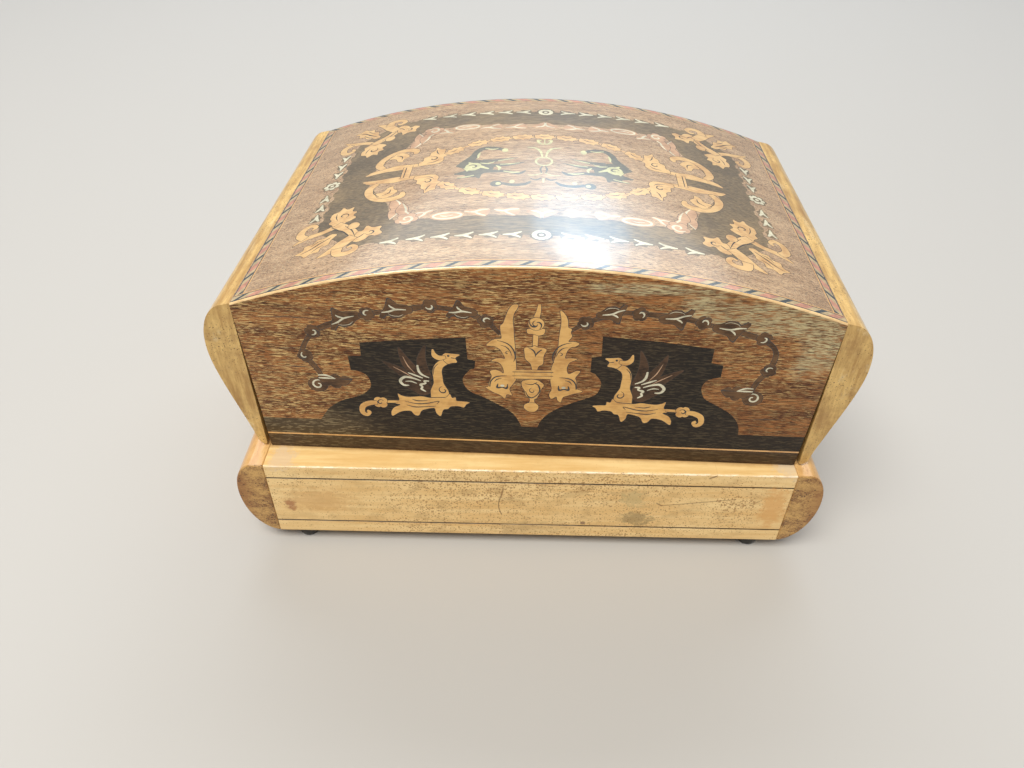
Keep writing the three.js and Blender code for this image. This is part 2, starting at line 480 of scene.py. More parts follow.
# Widths along an engraved line, and of the dark saw line around a piece
FINE, CLEAR, CURL = (0.1, 0.35, 0.1), (0.1, 0.4, 0.1), (0.12, 0.5, 0.2)
SAW, THIN_SAW, HAIR_SAW = 0.16, 0.14, 0.12
# Tops of the three bands along the foot of the front and back
EDGE_STRIP, PALE_LINE, BORDER = 5.0, 5.5, 11.5


class Picture:
    """Shapes let into a ground veneer, each cut into the ones laid before it."""

    def __init__(self):
        self.shapes = []
        self.places = [lambda p: p]

    def at(self, *places):
        """Sets the places where each next shape is repeated."""
        self.places = places

    def lay(self, wood, outline, saw_line=0.0):
        for place in self.places:
            shape = [place(Vector(p)) for p in outline]
            if saw_line:
                self.shapes.append(("cut", grown(shape, saw_line)))
            self.shapes.append((wood, shape))

    def line(self, wood, points, widths, steps=5, saw_line=0.0):
        self.lay(wood, stroke(points, widths, steps), saw_line)

    def cut(self, points, widths=FINE, steps=5):
        """A dark line, engraved or sawn."""
        self.line("cut", points, widths, steps)


def placed(at, turn, size=1.0):
    """Gives a function that sizes, turns and moves a list of points."""
    spin = Matrix.Rotation(turn, 2)
    return lambda points: [Vector(at) + spin @ (Vector(p) * size) for p in points]


def bar(half, low, high):
    """Straight band across a panel."""
    return [(-half, low), (half, low), (half, high), (-half, high)]


def set_out(across=1, up=1, centre=(0.0, 0.0)):
    """A place: mirrors a drawing across or up, and moves it to a centre."""
    return lambda p: Vector((centre[0] + across * p[0], centre[1] + up * p[1]))


# Pictures of the front and the top

def husk(inlay, at, turn, size):
    """Dark bell-shaped husk of the garland, with a thin painted highlight along its rim and a pale
    forked curl.
    """
    lobes = [(-4.8, 0.7), (-3, 1.2), (-1.8, 2.3), (0.3, 2.2), (1.5, 1.5), (2.7, 2.7), (3.7, 2.3),
        (3, 0.8), (2.1, -0.5), (1.7, -2), (1.1, -3.4), (0.1, -2.9), (-0.9, -1.7), (-3, -1.6),
        (-4.8, -0.9)]
    put = placed(at, turn, size)
    inlay.lay("husk", sawn(put(lobes)), HAIR_SAW)
    # Painted highlight: a thin pale line along the husk's rim.
    inlay.line("pale", put([(-2.4, 1.3), (-1.2, 1.9), (0.6, 1.7), (1.4, 1.1)]),
        [0.05, 0.16, 0.12, 0.05], 4)
    inlay.cut(put([(-1.9, 2.3), (0.3, 2.3), (1.5, 1.6), (2.8, 2.8)]), [0.1, 0.3, 0.2, 0.3], 4)
    inlay.cut(put([(1.7, -1.6), (1.2, -3.4), (0, -2.9)]), FINE, 4)
    inlay.line("pale", put([(3, 0.9), (1.2, 0.6), (-0.6, -0.1), (-3.2, -0.1)]),
        [0.2, 0.5, 0.55, 0.2], 4)
    inlay.line("pale", put([(1, -1.4), (0.5, -0.8), (-0.6, -0.2)]), [0.25, 0.5, 0.3], 4)


def bud(inlay, at, radius, turn):
    """Small dark ball of the garland, with a pale crescent."""
    inlay.lay("husk", rosette(at, radius, 5, turn, 0.2), HAIR_SAW)
    inlay.cut(coil(at, radius * 0.9, turn + 1.2, 0.3), FINE, 2)
    inlay.line("pale", coil(at, radius * 0.62, turn, 0.55), [0.2, 0.5, 0.4, 0.2], 2)


def garland(inlay, path, husks, buds):
    """Dark garland along a path, with husks and buds at places on it."""
    for wood, more in (("cut", 0.3), ("husk", 0)):
        inlay.line(wood, path, [w + more for w in (0.7, 1.4, 1, 1.7, 0.9, 1.5, 1, 1.5, 0.9)])
    for at, turn, size in husks:
        husk(inlay, at, math.radians(turn), size)
    for at, turn in buds:
        bud(inlay, at, 2.1, math.radians(turn))


def garland_end(inlay, centre, tip, start, hand):
    """Lower end of a garland: a coil and a pointed leaf."""
    inlay.lay("husk", disc(centre, 2.8, 0.9), HAIR_SAW)
    inlay.line("pale", coil(centre, 1.9, start, 1.15, hand), [0.25, 0.6, 0.5, 0.3], 2)
    root = Vector(centre) + Vector((0.05 * (tip[0] - centre[0]), 2.4))
    inlay.lay("husk", leaf(root, tip, 5, 3, -0.1 * hand), HAIR_SAW)
    inlay.cut([root.lerp(Vector(tip), 0.5), Vector(tip)], [0.1, 0.4], 2)
    for lift in (1.1, 0.1):
        up = Vector((0, lift))
        vein = [root + up, root.lerp(Vector(tip), 0.25) + up, root.lerp(Vector(tip), 0.5)]
        inlay.line("pale", vein, [0.3, 0.6, 0.2], 4)


def foot_bands(inlay, dark_half):
    """Dark border, edge strip and the pale line between them."""
    half = HALF - 0.02
    inlay.lay("dark", bar(dark_half, PALE_LINE - 0.1, BORDER))
    inlay.lay("strip", bar(half, 0.02, EDGE_STRIP))
    inlay.lay("line", bar(half, EDGE_STRIP - 0.05, PALE_LINE))


def vases(inlay):
    """The two dark urns."""
    left = [(-61.8, BORDER)] + smooth([(-61.8, BORDER), (-60.6, 13.4), (-58.4, 16.4),
        (-54.6, 19.2), (-49.9, 21), (-47.1, 22.8), (-45.5, 25.4), (-46.3, 28.9), (-49, 30.5)])
    left += [(-50.6, 30.6), (-50.8, 35.5), (-47.1, 35.8), (-47, 40.3), (-32.5, 42), (-18.2, 43.3),
        (-17.9, 36), (-15.8, 35.4), (-16, 32.9)]
    left += smooth([(-17.4, 32.2), (-19.4, 29), (-18.7, 25.9), (-16.8, 23.9), (-13.4, 22.2),
        (-9.6, 19.8), (-6.5, 17.7), (-4.3, 14.9), (-2.8, BORDER)])
    right = smooth([(1.8, BORDER), (2.7, 14), (4.6, 16.7), (8, 19.5), (13, 22.2), (16.8, 24.1),
        (18.4, 25.9), (18.9, 29.3), (17.1, 32.2)])
    right += [(15.7, 32.9), (15.7, 38), (18.3, 38.4), (18.1, 45.1), (33, 44), (47.8, 42.2),
        (47.8, 37.5), (51.1, 36.8), (51.1, 32.6)]
    right += smooth([(49.6, 32.2), (47.6, 31.2), (46.6, 28.6), (47.5, 25.6), (48.9, 24.1),
        (53, 21.6), (56.4, 19.2), (58.6, 16.4), (59.6, 14), (59.9, BORDER)])
    inlay.at(set_out())
    inlay.lay("dark", left)
    inlay.lay("dark", right)


def front_garlands(inlay):
    inlay.at(set_out())
    left_path = [(-8.9, 44.6), (-12.1, 48.2), (-16, 50.5), (-21, 52), (-27.1, 52.8), (-32, 52),
        (-37.4, 51), (-44, 49.8), (-50.3, 47.6), (-55.9, 45.4), (-59.6, 42.9), (-62.8, 37.8),
        (-62.2, 34.6), (-60, 30.6), (-58.8, 27.4)]
    garland(inlay, left_path, [((-19.4, 51.6), 172, 0.95), ((-36.8, 51.4), 180, 1.05),
        ((-50.8, 47.9), 196, 1.1)], [((-12.7, 48.7), 30), ((-27.1, 53), 200), ((-44, 49.8), 60),
        ((-59.2, 43.6), 250), ((-62.6, 35.2), 120)])
    garland_end(inlay, (-60.6, 24.9), (-50.6, 27.2), 0.6, 1)
    right_path = [(9.6, 46.5), (13.3, 49.1), (19, 51.8), (23, 52.8), (27.1, 52.6), (31.1, 52.4),
        (36.8, 51.9), (41.1, 51), (47.4, 49.2), (51.1, 48.6), (56.1, 47), (60.4, 45.4),
        (63.4, 42.8), (64.2, 39.7), (63.3, 35.4), (61.2, 31.4), (60.4, 28)]
    garland(inlay, right_path, [((20.4, 52.4), 8, 0.95), ((37, 51.6), 2, 1.05),
        ((51.4, 48.6), -8, 1.1)], [((13.3, 49.2), 200), ((27.1, 52.5), 300), ((43.6, 50.5), 330),
        ((59.9, 46), 240), ((63.4, 35.4), 40)])
    garland_end(inlay, (61.2, 25.4), (52, 28), 2.4, -1)


def candelabra(inlay):
    """Golden centrepiece: spike, rose, tulip cup, crossbar and drop between leafy arms."""
    left_arm = [(-4.1, 54.4), (-4.5, 53), (-5.3, 51.7), (-5.7, 49.5), (-5.4, 46.7), (-5.3, 44.1),
        (-5, 41), (-4.9, 37.7), (-4.6, 34.4), (-4.4, 29.6), (-5.3, 27.8), (-6.6, 25.7),
        (-5.4, 23.2), (-7.2, 24), (-7.6, 21.9), (-9, 23.5), (-10.7, 24.2), (-13.5, 26.2),
        (-12.2, 26.3), (-12.1, 27.8), (-11.2, 30.2), (-12, 32), (-10.6, 32.6), (-9.1, 32.2),
        (-8, 31.2), (-8, 32.6), (-8.7, 34.5), (-9.8, 35.4), (-11.7, 35.5), (-10.3, 36.5),
        (-8.8, 36.7), (-7.5, 36.4), (-8.2, 38.1), (-9, 39.7), (-10.5, 40.7), (-13, 40.7),
        (-11.6, 42.4), (-10.1, 43.2), (-8.5, 43.2), (-8.8, 45), (-9, 47.6), (-8.2, 48.1),
        (-7.5, 50.5), (-6.9, 52.5), (-5.8, 54.3)]
    right_arm = [(6.4, 53.2), (7.4, 52.4), (8.3, 51.1), (8.8, 49.4), (8.8, 47.6), (9.9, 47.2),
        (9.6, 45.9), (10.2, 44.8), (8.9, 42.8), (10.7, 43.1), (12.4, 42.5), (11.2, 41.4),
        (9.9, 41.2), (9, 39.9), (8.4, 37.2), (9.9, 37.5), (12.2, 37.3), (10.8, 36.5), (9.8, 35.9),
        (9.2, 34.2), (9.3, 32.8), (9.8, 31.7), (11.9, 33.2), (13.1, 33.1), (12.4, 31.8),
        (11.6, 30.6), (12.2, 29.2), (12.1, 26.6), (14.5, 25.8), (11.3, 24.7), (9.8, 24),
        (8.5, 23.4), (8.2, 21.2), (7.1, 22.2), (6.9, 23.8), (5.4, 22.4), (4.8, 23.6), (4.8, 24.8),
        (5.5, 26), (4.8, 29.8), (4.9, 33.2), (5.4, 35.4), (6.2, 38.7), (6.6, 41.2), (6.6, 44.1),
        (7.1, 49.5)]
    inlay.at(set_out())
    for arm in (left_arm, right_arm):
        inlay.lay("gold", sawn(arm), SAW)
    for side, shift in ((1, 0), (-1, 0.3)):
        inlay.at(set_out(side, 1, (shift, 0)))
        inlay.cut([(-9.8, 42.6), (-8.2, 42.2), (-6.5, 41.2), (-5.3, 39.3), (-4.9, 37.2),
            (-5.3, 35.6)], [0.1, 0.35, 0.4, 0.15])
        inlay.cut([(-8.8, 41), (-7.5, 40.6), (-6.4, 39.3), (-5.8, 37.6)])
        inlay.cut(coil((-7, 38.5), 0.7, 1, 0.7), [0.1, 0.3, 0.1], 2)
        inlay.cut([(-11.9, 26.4), (-11.6, 28.4), (-10.4, 29.9), (-8.8, 30.4), (-7.1, 30.5)],
            [0.3, 0.4, 0.35, 0.1])
        inlay.cut([(-10.6, 28.2), (-9.9, 29.1), (-8.6, 29.5)])
        inlay.cut([(-9.6, 27.6), (-9.8, 26.2), (-8.4, 26.3), (-7.2, 26), (-6.9, 27.6)],
            [0.2, 0.75, 0.35, 0.7, 0.15])
        inlay.lay("pale", disc((-8.4, 26.9), 0.6, 0.7))
    inlay.at(set_out())
    inlay.line("gold", [(1.2, 54.6), (1, 52.4), (0.5, 50.4)], [0.7, 1.2, 1.6], saw_line=THIN_SAW)
    inlay.line("gold", [(0.5, 45.6), (0.4, 40.8)], [1.4, 1.3], 1, saw_line=THIN_SAW)
    inlay.lay("gold", sawn([(-2, 46.9), (-1.9, 45.2), (0, 45.1), (1.3, 44.6), (2.7, 45.1),
        (3, 47.1), (0.6, 46.6)]), THIN_SAW)
    inlay.lay("gold", disc((0.5, 48.4), 2.1, 0.96), THIN_SAW)
    inlay.cut(coil((0.5, 48.4), 2, 2.6, 0.45), [0.15, 0.5, 0.15], 2)
    inlay.cut(coil((0.5, 48.4), 1.9, 5.2, 0.4), [0.15, 0.5, 0.15], 2)
    inlay.cut(coil((0.5, 48.3), 1.2, 1.8, 0.7), [0.15, 0.4, 0.15], 2)
    inlay.lay("gold", sawn([(-2.6, 40.6), (-0.4, 40.7), (0.2, 41.4), (1, 40.7), (2.5, 40.7),
        (3.7, 40.1), (2.7, 38), (2.8, 35), (1.5, 34.4), (1.1, 32.6), (-0.2, 32.6), (-0.6, 35.1),
        (-2.2, 36.5), (-2.4, 38.6)]), SAW)
    inlay.cut([(-1.4, 40.5), (-0.3, 39.9), (0.4, 38.8), (0.6, 37.4)], [0.1, 0.4, 0.4, 0.1])
    inlay.cut([(2.2, 40), (1.2, 39), (0.5, 37.8)], [0.3, 0.45, 0.2])
    inlay.lay("gold", [(-4.9, 32.7), (5.1, 33), (5.1, 29.9), (-5.1, 29.6)], HAIR_SAW)
    inlay.cut([(-5.6, 32), (5.6, 32.3)], [0.22, 0.26], 1)
    inlay.cut([(-5.6, 30.6), (5.6, 30.9)], [0.16, 0.16], 1)
    drop = [(-3.1, 27.9), (-2.9, 28.9), (-0.4, 29.6), (1.6, 29.3), (3.4, 27.7), (2.5, 26.2),
        (2, 24.5), (1.4, 22.7), (0.6, 22.4), (0.7, 21), (1.9, 20), (1.9, 18.7), (0.8, 17.4),
        (-1, 17.5), (-2.3, 18.9), (-2.2, 20.1), (-0.6, 21.1), (-0.6, 22.6), (-1.8, 23.4),
        (-2.1, 25.4), (-2.8, 26.5)]
    inlay.lay("gold", sawn(drop), SAW)
    inlay.cut([(-1.9, 25.2), (-1.2, 23.4), (0, 22.8), (1.4, 24), (2.1, 25.8), (1.6, 27.5),
        (0.5, 28.2)], [0.15, 0.45, 0.25, 0.5, 0.2])
    inlay.cut(coil((0.1, 25.4), 1.1, 1.8, 0.8), FINE, 2)
    inlay.cut([(-2.2, 27.9), (-0.2, 27.7), (1.3, 28.5)], [0.1, 0.35, 0.15])
    inlay.cut([(-1, 20.9), (0.9, 20.9)], [0.2, 0.2], 1)


def bird(inlay):
    """Golden bird with a long neck and dark wings, on a leafy scroll; one for both sides."""
    feathers = [((-41.4, 34.2), (-36.6, 30.8), (-31.4, 26.6), 3.6),
        ((-36.6, 39.2), (-34.6, 33.6), (-30.4, 27.6), 3.8),
        ((-29.2, 40.4), (-30.6, 34.8), (-29.4, 28), 3.4)]
    for tip, middle, root, wide in feathers:
        inlay.lay("wing", stroke([tip, middle, root], [0.3, wide * 0.8, wide]), 0.08)
    inlay.lay("wing", sawn([(-29, 29.2), (-28.1, 26.4), (-28.6, 23), (-31.2, 22), (-34.4, 24.2),
        (-37.4, 26.8), (-36.6, 29.6), (-32.6, 29.6)]), 0.08)
    for line in ([(-38.6, 32.4), (-35.6, 30.4), (-33.4, 28.8)],
            [(-35.6, 36), (-34.4, 32.8), (-32.6, 30.2)]):
        inlay.line("rosy", line, [0.1, 0.3, 0.1])
    inlay.line("pale", [(-31.8, 33.2), (-31.6, 31.2), (-30.7, 29.8), (-28.8, 28.8)],
        [0.5, 0.75, 0.6, 0.25])
    inlay.line("pale", [(-34.6, 30.4), (-33, 29.7), (-30.6, 28.6)], [0.2, 0.6, 0.3])
    inlay.line("pale", [(-31.2, 27.6), (-33.4, 28.5), (-35.6, 28.8), (-37, 27.4), (-36.2, 25.9),
        (-34.6, 25.8)], [0.3, 0.6, 0.8, 0.9, 0.7, 0.3])
    inlay.line("pale", [(-35.6, 27.2), (-34, 27.3), (-32.4, 26.6)], [0.2, 0.45, 0.2])
    inlay.line("pale", [(-28.9, 27.6), (-30.2, 27.5), (-29.9, 26.7), (-31.4, 26.2), (-30.9, 25.4),
        (-31.2, 24.6), (-30, 23.7)], [0.3, 0.7, 0.4, 0.75, 0.5, 0.7, 0.25])
    inlay.line("gold", [(-26, 21.8), (-26.2, 24.8), (-26.3, 28.2), (-26.4, 31.4), (-25.5, 33.6),
        (-23.6, 34.9)], [5.4, 5, 2.6, 2.6, 2.4, 2.2, 1.8], saw_line=SAW)
    inlay.lay("gold", sawn([(-24.6, 35.4), (-24.9, 36.8), (-23.9, 37.8), (-22.4, 37.6),
        (-19.6, 37.4), (-21.4, 36.2), (-20.6, 34.6), (-22.2, 34.4), (-23.4, 33.9)]), SAW)
    inlay.line("gold", [(-23.9, 36.4), (-25.6, 36), (-26.9, 36.9), (-27.3, 38.9)],
        [1, 1.6, 1.5, 0.3], saw_line=THIN_SAW)
    inlay.lay("cut", disc((-23.1, 36.8), 0.36, sides=8))
    inlay.cut([(-22.4, 36.2), (-20.8, 35.9)], [0.3, 0.15], 1)
    inlay.cut(coil((-25, 24.4), 1.5, 1.8, 0.9), [0.12, 0.45, 0.2], 2)
    inlay.cut([(-27.6, 30), (-27.2, 32.4), (-26, 34)], [0.1, 0.3, 0.1])
    scroll = [(-38.3, 22.8), (-37.3, 21.9), (-35.6, 21.4), (-33.2, 21.6), (-31.4, 21.9),
        (-29, 21.3), (-26.6, 21.5), (-24.4, 21.6), (-23.2, 23.3), (-22.8, 21.5), (-21.6, 22),
        (-21.7, 20.5), (-19.9, 20.5), (-17.5, 20.2), (-18.8, 19.4), (-19.4, 18), (-21, 18.7),
        (-23.4, 18.4), (-24, 17.3), (-25.5, 17.2), (-26.3, 14.1), (-27.6, 15.6), (-27.8, 17.7),
        (-29.7, 17.3), (-31.8, 16.5), (-32.7, 14.2), (-34, 14.6), (-34.8, 16.2), (-36.6, 16.1),
        (-38.2, 15.6), (-40.6, 13.6), (-40.7, 15.4), (-39.8, 17.2), (-37.4, 18.4), (-39.4, 18.8),
        (-39.2, 19.9), (-37.7, 19.9)]
    inlay.lay("gold", sawn(scroll), SAW)
    for line in ([(-36.4, 19.8), (-33.2, 19), (-30.2, 19.2), (-26.6, 20.2), (-27.2, 19.2)],
            [(-36, 18.4), (-33.6, 17.7), (-30.6, 17.9), (-27.4, 18.3)],
            [(-34.2, 20.6), (-32.4, 20.1), (-29.8, 20.3)]):
        inlay.cut(line, [0.1, 0.4, 0.3, 0.15])
    inlay.line("gold", [(-38.6, 19.5), (-42.4, 19.3)], [0.9, 0.9], 1, saw_line=THIN_SAW)
    inlay.lay("gold", rosette((-43.4, 19), 2.2, 4, 0.7, 0.25), THIN_SAW)
    inlay.line("gold", [(-44.4, 18.8), (-46.6, 18.6), (-48.7, 17.3), (-49.1, 15), (-47.9, 14),
        (-47, 15), (-47.7, 15.6)], [1.4, 1.7, 1.7, 1.5, 1.2, 1, 0.8], saw_line=THIN_SAW)
    inlay.cut(coil((-43.4, 19), 1.1, 0.6, 0.9), [0.15, 0.45, 0.15], 2)


def front_picture():
    inlay = Picture()
    vases(inlay)
    foot_bands(inlay, HALF - 0.05)
    cracks = ([(-74, 47.8), (-66, 48), (-55, 47.7)], [(-76.5, 43.6), (-72, 43.8)],
        [(-74, 31), (-66, 31.3), (-62, 31.1)], [(-70, 37.5), (-64.5, 37.8)],
        [(66, 36), (72, 36.4), (76, 36.2)], [(62, 17.6), (70, 17.9)])
    for crack in cracks:
        inlay.cut(crack, [0.06, 0.24, 0.06])
    front_garlands(inlay)
    candelabra(inlay)
    inlay.at(set_out(), set_out(-1, 1, (-0.6, 0.4)))
    bird(inlay)
    return inlay


def rope_band(inlay, start, end, side):
    """Twisted stringing from start to end: dark lines with slanted coloured blocks."""
    start, end = Vector(start), Vector(end)
    run = end - start
    along = run.normalized()
    inward = Vector((-along.y, along.x)) * side
    wide, pitch = 2.3, 9.2

    def strip(wood, low, high, a=0, b=None):
        b = run.length if b is None else b
        inlay.lay(wood, [start + along * a + inward * low, start + along * b + inward * low,
            start + along * b + inward * high, start + along * a + inward * high])

    strip("blue", 0, wide + 0.3)
    strip("green", 0.3, wide)
    strip("line", wide + 0.3, wide + 0.65)
    slant, count = 2.6, round(run.length / pitch)
    step = run.length / count
    for i in range(count):
        here = i * step + 0.4
        for wood, begin, length in (("blue", 0, 1.6), ("red", 3.6, 3.6)):
            a, b = here + begin, min(here + begin + length, run.length - slant)
            if b <= a:
                continue
            inlay.lay(wood, [start + along * a + inward * 0.3, start + along * b + inward * 0.3,
                start + along * (b + slant) + inward * (wide - 0.05),
                start + along * (a + slant) + inward * (wide - 0.05)])


def corner_scroll(inlay):
    """Golden acanthus that turns each corner of the dark frame."""
    inlay.line("faded_gold", [(69.8, 35.4), (66.2, 32.6), (61.6, 31.2), (58, 28.8)],
        [0.4, 2.4, 2, 2.4], saw_line=SAW)
    inlay.line("faded_gold", [(66.8, 32.6), (68.9, 30.2), (68.6, 26.8), (66.6, 25.2), (64.9, 26.8),
        (65.8, 28.2)], [2.6, 2.6, 2.2, 1.8, 1.4, 0.8], saw_line=SAW)
    upper = [(61.4, 20.6), (61.6, 23.6), (60.6, 24.8), (61.4, 26.6), (59.8, 27.8), (59.2, 30.4),
        (55.6, 30.2), (56.2, 27.8), (54.6, 27), (53, 25.4), (54.6, 23.8), (53.4, 21.8),
        (55.4, 21.2), (55, 18.2), (57, 19.6), (58.6, 17.4), (59.4, 19.8)]
    inlay.lay("faded_gold", sawn(upper, 1), SAW)
    inlay.cut(coil((57.4, 23.2), 1.7, 2.2, 0.9), CURL, 2)
    inlay.cut([(59.8, 21.2), (59.6, 23.4), (58.8, 25.4)])
    inlay.line("faded_gold", [(58.4, 28.2), (55.4, 31), (52.4, 34.6), (51, 37.6)],
        [3, 3.2, 3, 2.4], saw_line=SAW)
    inlay.cut([(58.8, 31), (56, 32.6), (53.6, 35.6), (52.6, 37.6)], [0.12, 0.45, 0.4, 0.15])
    inlay.cut([(55.6, 29.8), (53, 33), (51.4, 36.6)], [0.12, 0.4, 0.15])
    inlay.lay("faded_gold", disc((52.8, 30.6), 1.7, 1.15, 0.3), SAW)
    inner = [(51, 34.6), (49.4, 34.8), (48.8, 31.6), (46.8, 33.6), (44, 33.2), (44.6, 35.4),
        (43.2, 37.4), (45, 38.8), (46.8, 37.6), (47.8, 39.8), (49.8, 40.8), (51.6, 39.8)]
    inlay.lay("faded_gold", sawn(inner, 1), SAW)
    inlay.cut(coil((47, 36), 1.5, 0.4, 0.9), CURL, 2)
    inlay.cut([(50.6, 38.6), (49.4, 37.4), (48.6, 36.2)], CLEAR)
    inlay.line("faded_gold", [(51.6, 37), (54.2, 40.4), (56.4, 43.2), (60, 46)],
        [3.2, 3.8, 3, 0.4], saw_line=SAW)
    inlay.line("faded_gold", [(55, 42.6), (54.4, 45.6), (51.4, 46), (49.6, 44), (50.8, 42.2),
        (52.2, 43)], [3.2, 2.6, 2.2, 1.8, 1.3, 0.8], saw_line=SAW)
    wavy = [(56.6, 34), (58.8, 33.2), (60.4, 35.2), (62.4, 35), (63, 37.2), (65.6, 37.6),
        (65.4, 40), (67.8, 41.6), (65.4, 42.4), (64, 44.4), (62.4, 42.4), (60.4, 42.6), (60.2, 40),
        (58.2, 39.2), (58.2, 36.8)]
    inlay.lay("faded_gold", sawn(wavy, 1), SAW)
    inlay.cut([(58.4, 35.2), (61.2, 37.8), (63.2, 40), (65.8, 41.8)], [0.15, 0.5, 0.4, 0.1])
    inlay.cut([(60.2, 36), (62, 36.6), (63.4, 38.4)])
    inlay.cut([(59.6, 38.8), (61.2, 40), (62.6, 41.8)])


def clasp(inlay):
    """Golden C-scrolls and blades that hold the oval wreath at each side."""
    inlay.lay("frame", [(43.6, -3.2), (54.6, -2.4), (54.6, 2.4), (43.6, 3.2)])
    for up in (1, -1):
        flip = lambda points: [(x, y * up) for x, y in points]
        inlay.lay("faded_gold", sawn(flip([(56.6, 1.6), (51, 2.6), (44, 2.4), (41, 3), (36.6, 3.4),
            (36.6, 5.6), (41.6, 5.4), (46, 6.4), (50, 5.2), (54, 4.6)]), 1), SAW)
        inlay.line("faded_gold", flip([(50.6, 5.2), (52.6, 8.4), (51.6, 12.4), (48.8, 15.8),
            (44.8, 17.4), (41.6, 16), (41.6, 13.4)]), [2, 2.6, 3, 3, 2.8, 2.6, 1], saw_line=SAW)
        inlay.lay("faded_gold", sawn(flip([(50.2, 12), (47.6, 11.8), (46.8, 9.2), (45, 8.4),
            (44.8, 10.6), (43, 12.2), (44.2, 14.6), (46.6, 16.4), (49, 15)]), 1), THIN_SAW)
        inlay.cut(flip([(47.8, 14.2), (45.8, 12.8), (45.6, 10.6)]), [0.1, 0.45, 0.1])
        inlay.cut(flip([(51.2, 9), (50.6, 11.8), (48.4, 14.8)]))
        inlay.lay("faded_gold", sawn(flip([(39.2, 3.4), (39.4, 6), (38, 6.8), (38.2, 9.2),
            (36.4, 10.2), (36.4, 12.6), (35, 14), (34.8, 16.6), (33.2, 14.6), (31.6, 14.4),
            (31.8, 11.8), (30.4, 10), (31.8, 8.6), (31.4, 5.8), (33.2, 3.6)]), 1), SAW)
        inlay.cut(coil((35, 8.0 * up), 1.7, 1, 0.9), CURL, 2)
        inlay.cut(flip([(36.6, 5), (34.4, 5.4), (33, 6.8)]), CLEAR)
        inlay.cut(flip([(34.6, 14.6), (34.2, 12.4), (33.4, 10.8)]), CLEAR)
    inlay.lay("faded_gold", [(41, -4.4), (43.8, -4), (43.8, 4), (41, 4.4)], SAW)
    inlay.cut([(42.9, -3.6), (42.9, 3.6)], [0.3, 0.3], 1)


def wreath(inlay, long=35, short=21.5):
    """Oval of golden leaf sprigs joined by a thin stem."""
    sprig = [(-3.4, 0.2), (-3.3, 1.5), (-2, 1.3), (-1.2, 2.3), (-0.2, 1.6), (1.2, 2.4), (1.6, 1.3),
        (3.2, 1.4), (3, 0.2), (4, -0.6), (2.4, -1), (2.2, -2.2), (0.8, -1.5), (-0.2, -2.4),
        (-1.2, -1.4), (-2.8, -1.6)]
    for side in (1, -1):
        oval = lambda u: Vector((u, side * short * math.sqrt(1 - (u / long) ** 2)))
        inlay.line("faded_gold", [oval(u) for u in np.linspace(-32, 32, 20)], [0.9, 0.9], 2)
        for u in np.linspace(-28.5, 28.5, 9):
            at, ahead = oval(u), oval(u + 0.5) - oval(u - 0.5)
            put = placed(at, math.atan2(ahead.y, ahead.x))
            inlay.lay("faded_gold", sawn(put(sprig), 1), THIN_SAW)
            inlay.cut(put([(-1.8, 0.6), (-0.4, 0), (1.4, 0.4)]), CLEAR, 3)


def pale_flowers(inlay, points, size=1):
    """Forked pale flowers in a row; each point also gives the way its fork opens."""
    for x, y, turn in points:
        put = placed((x, y), math.radians(turn), size)
        inlay.lay("frame", sawn(put([(-3.2, 0.5), (-1.2, 1.2), (-0.4, 2.3), (1.2, 1.6), (2.6, 2.5),
            (2.6, 0), (2.2, -2.3), (0.6, -1.5), (-1, -1.9), (-1.4, -0.8), (-3.2, -0.5)]), 1))
        inlay.line("pale", put([(2.2, 1.6), (0.6, 0.6), (-1, 0.1), (-2.8, 0)]), [0.5, 1, 1.1, 0.4],
            3)
        inlay.line("pale", put([(2, -1.6), (0.8, -0.6), (-0.8, 0)]), [0.4, 0.9, 0.6], 3)


def ring_flower(inlay, x, y, radius=2.6):
    """Round pale flower, open in the middle."""
    inlay.lay("frame", rosette((x, y), radius + 0.6, 7, 0, 0.25))
    inlay.lay("pale", rosette((x, y), radius, 7, 0, 0.3))
    inlay.lay("frame", disc((x, y), radius * 0.5, sides=12))
    inlay.lay("pale", disc((x, y), radius * 0.25, sides=8))


